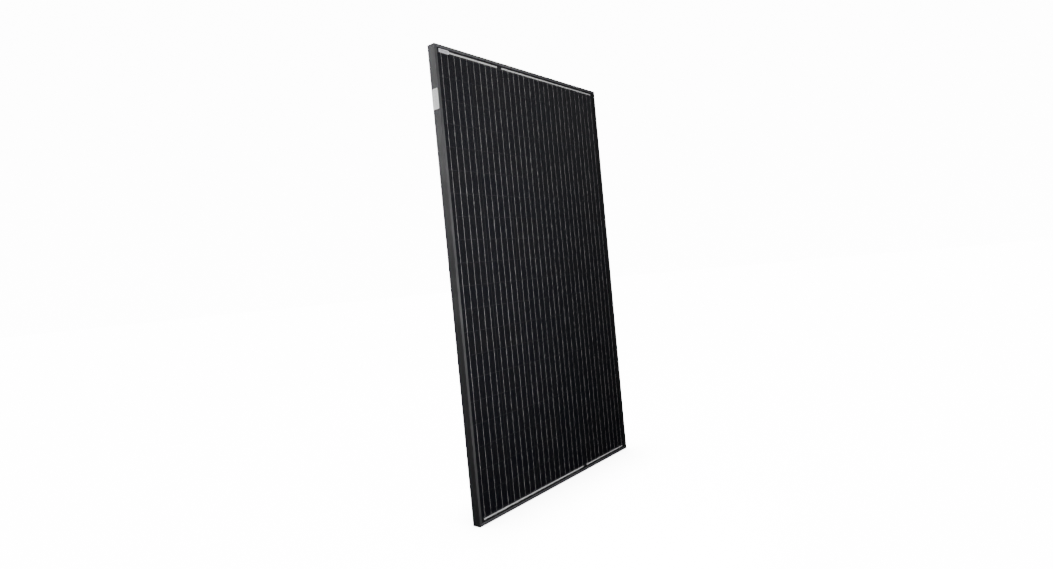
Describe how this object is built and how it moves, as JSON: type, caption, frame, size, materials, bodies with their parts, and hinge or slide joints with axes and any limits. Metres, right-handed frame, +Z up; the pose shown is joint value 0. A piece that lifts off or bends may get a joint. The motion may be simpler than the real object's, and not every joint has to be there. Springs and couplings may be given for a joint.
{
  "type": "solar panel",
  "caption": "Framed monocrystalline solar module, all black, with strings of half-cut cells under glass and a hinged junction box behind.",
  "frame": {"origin": "centre of the grounding-hole rectangle, on the flat rear face of the frame", "axes": "+X to the right seen from the glass side, +Z up along the tall side, +Y out of the rear; the glass faces -Y"},
  "size_m": [1.0021, 0.035, 1.684],
  "materials": {
    "frame_black": "black anodised, satin",
    "key_metal": "mill finish",
    "sealant": "cured silicone",
    "solar_glass": "low-iron tempered, fine matt texture",
    "encapsulant": "clear cured film",
    "rear_film": "black cured film",
    "backsheet": "black film",
    "cell": "dark anti-reflection coated silicon",
    "ribbon": "tinned copper, darkened",
    "bus_metal": "tinned copper",
    "insulation": "black film",
    "terminal_metal": "tinned",
    "diode": "moulded",
    "box_plastic": "fine textured",
    "lid_plastic": "fine textured",
    "seal_rubber": "soft",
    "pin_metal": "drawn",
    "gland_plastic": "moulded",
    "label_white": "printed film",
    "label_silver": "printed film"
  },
  "bodies": {
    "module": {"left_side_rail": "frame_black", "right_side_rail": "frame_black", "top_end_rail": "frame_black", "bottom_end_rail": "frame_black", "corner_key_top_left": "key_metal", "corner_key_top_right": "key_metal", "corner_key_bottom_left": "key_metal", "corner_key_bottom_right": "key_metal", "edge_sealant": "sealant", "front_glass": "solar_glass", "front_encapsulant": "encapsulant", "rear_encapsulant": "rear_film", "backsheet": "backsheet", "cell_string_1": "cell", "tabbing_ribbons_1": "ribbon", "cell_string_2": "cell", "tabbing_ribbons_2": "ribbon", "cell_string_3": "cell", "tabbing_ribbons_3": "ribbon", "cell_string_4": "cell", "tabbing_ribbons_4": "ribbon", "cell_string_5": "cell", "tabbing_ribbons_5": "ribbon", "cell_string_6": "cell", "tabbing_ribbons_6": "ribbon", "bus_ribbon_top_left": "bus_metal", "bus_ribbon_top_right": "bus_metal", "bus_ribbon_bottom_left": "bus_metal", "bus_ribbon_bottom_right": "bus_metal", "lead_ribbon_1": "bus_metal", "insulation_strip_1": "insulation", "terminal_1": "terminal_metal", "lead_ribbon_2": "bus_metal", "insulation_strip_2": "insulation", "terminal_2": "terminal_metal", "lead_ribbon_3": "bus_metal", "insulation_strip_3": "insulation", "terminal_3": "terminal_metal", "lead_ribbon_4": "bus_metal", "insulation_strip_4": "insulation", "terminal_4": "terminal_metal", "bypass_diode_1": "diode", "bypass_diode_2": "diode", "bypass_diode_3": "diode", "junction_box_base": "box_plastic", "junction_box_gasket": "seal_rubber", "junction_box_adhesive": "sealant", "lid_hinge_pin": "pin_metal", "serial_label": "label_white", "side_label": "label_white", "rating_label": "label_silver"},
    "box_lid": {"junction_box_lid": "lid_plastic"},
    "seal_left": {"gland_seal_left": "seal_rubber"},
    "nut_left": {"gland_nut_left": "gland_plastic"},
    "seal_right": {"gland_seal_right": "seal_rubber"},
    "nut_right": {"gland_nut_right": "gland_plastic"}
  },
  "joints": [
    {"name": "box_lid_hinge", "type": "hinge", "parent": "module", "child": "box_lid", "pos_m": [0, -0.011, 0.7746], "axis": [1, 0, 0], "range_deg": [0, 110]},
    {"name": "gland_left_travel", "type": "slide", "parent": "module", "child": "seal_left", "axis": [0, 0, -1], "range_m": [0, 0.003]},
    {"name": "gland_left_turn", "type": "hinge", "parent": "seal_left", "child": "nut_left", "pos_m": [-0.036, -0.0175, 0.657], "axis": [0, 0, -1], "range_deg": [0, 720]},
    {"name": "gland_right_travel", "type": "slide", "parent": "module", "child": "seal_right", "axis": [0, 0, -1], "range_m": [0, 0.003]},
    {"name": "gland_right_turn", "type": "hinge", "parent": "seal_right", "child": "nut_right", "pos_m": [0.036, -0.0175, 0.657], "axis": [0, 0, -1], "range_deg": [0, 720]}
  ],
  "couplings": [
    {"joint": "gland_left_travel", "follows": "gland_left_turn", "m_per_rad": 0.0002387},
    {"joint": "gland_right_travel", "follows": "gland_right_turn", "m_per_rad": 0.0002387}
  ]
}
